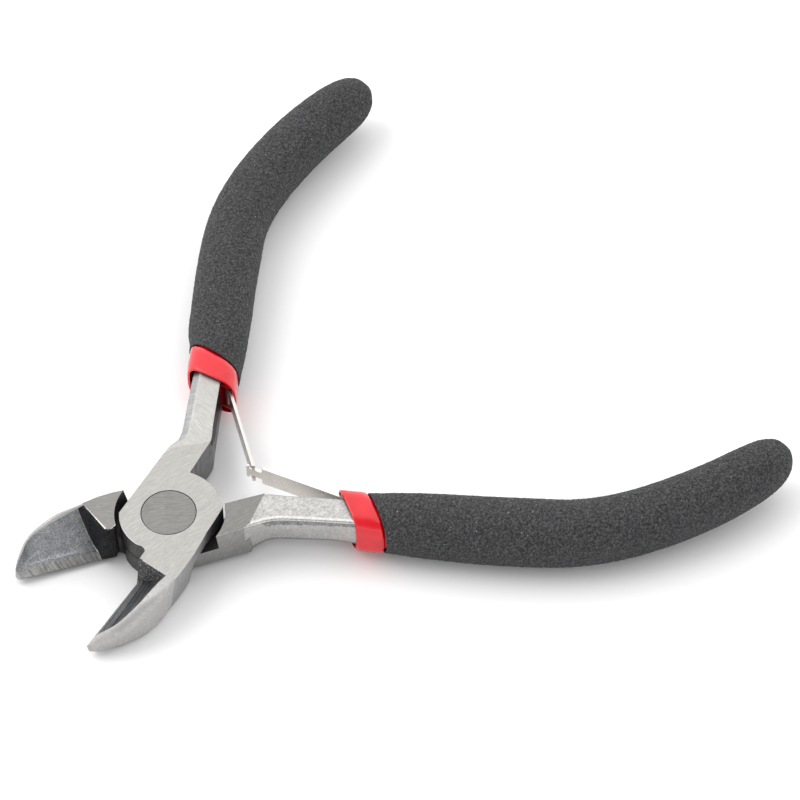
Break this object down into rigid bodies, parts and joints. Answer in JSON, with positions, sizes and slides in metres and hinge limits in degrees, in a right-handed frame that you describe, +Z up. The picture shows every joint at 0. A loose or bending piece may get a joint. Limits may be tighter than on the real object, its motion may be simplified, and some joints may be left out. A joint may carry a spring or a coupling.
{
  "type": "diagonal cutter",
  "caption": "Small lap-joint flush cutter with bevelled jaws, a flush pivot rivet, hooked leaf springs that hold it open, and curved handles in dipped sleeves with dark textured grips.",
  "frame": {"origin": "Centre of the pivot rivet's lower face, on the pivot axis.", "axes": "+Z up along the pivot axis, square to the joint's faces. +X along the mid-line between the handles, from the pivot towards them, so the jaws point to -X. +Y towards the handle of the half whose lap plate is on top."},
  "size_m": [0.101, 0.105, 0.0102],
  "materials": {
    "forged_steel": "forged carbon steel, ground on the joint faces, sandblasted on the tangs",
    "rivet_steel": "plain steel, ground flush",
    "spring_steel": "nickel-plated strip",
    "red_vinyl": "glossy dipped vinyl",
    "dark_foam": "matt foamed dip with a fine sandy grain"
  },
  "bodies": {
    "lower_body": {"lower_half": "forged_steel", "pivot_rivet": "rivet_steel", "lower_spring_pin": "rivet_steel", "lower_sleeve": "red_vinyl", "lower_grip": "dark_foam"},
    "upper_body": {"upper_half": "forged_steel", "upper_spring_pin": "rivet_steel", "upper_sleeve": "red_vinyl", "upper_grip": "dark_foam"},
    "upper_spring": {"upper_leaf_spring": "spring_steel"},
    "lower_spring": {"lower_leaf_spring": "spring_steel"}
  },
  "joints": [
    {"name": "main_pivot", "type": "hinge", "parent": "lower_body", "child": "upper_body", "pos_m": [0, 0, 0.0035], "axis": [0, 0, 1], "range_deg": [-40.8, 0], "stiffness_Nm_per_rad": 0.4},
    {"name": "upper_spring_turn", "type": "hinge", "parent": "upper_body", "child": "upper_spring", "pos_m": [0.02236, 0.01388, 0.0035], "axis": [0, 0, 1], "range_deg": [-24.5, 0.5]},
    {"name": "lower_spring_turn", "type": "hinge", "parent": "lower_body", "child": "lower_spring", "pos_m": [0.02236, -0.01388, 0.0035], "axis": [0, 0, 1], "range_deg": [-0.5, 24.5]}
  ],
  "couplings": [
    {"joint": "upper_spring_turn", "follows": "main_pivot", "ratio": 0.58},
    {"joint": "lower_spring_turn", "follows": "main_pivot", "ratio": -0.58}
  ]
}
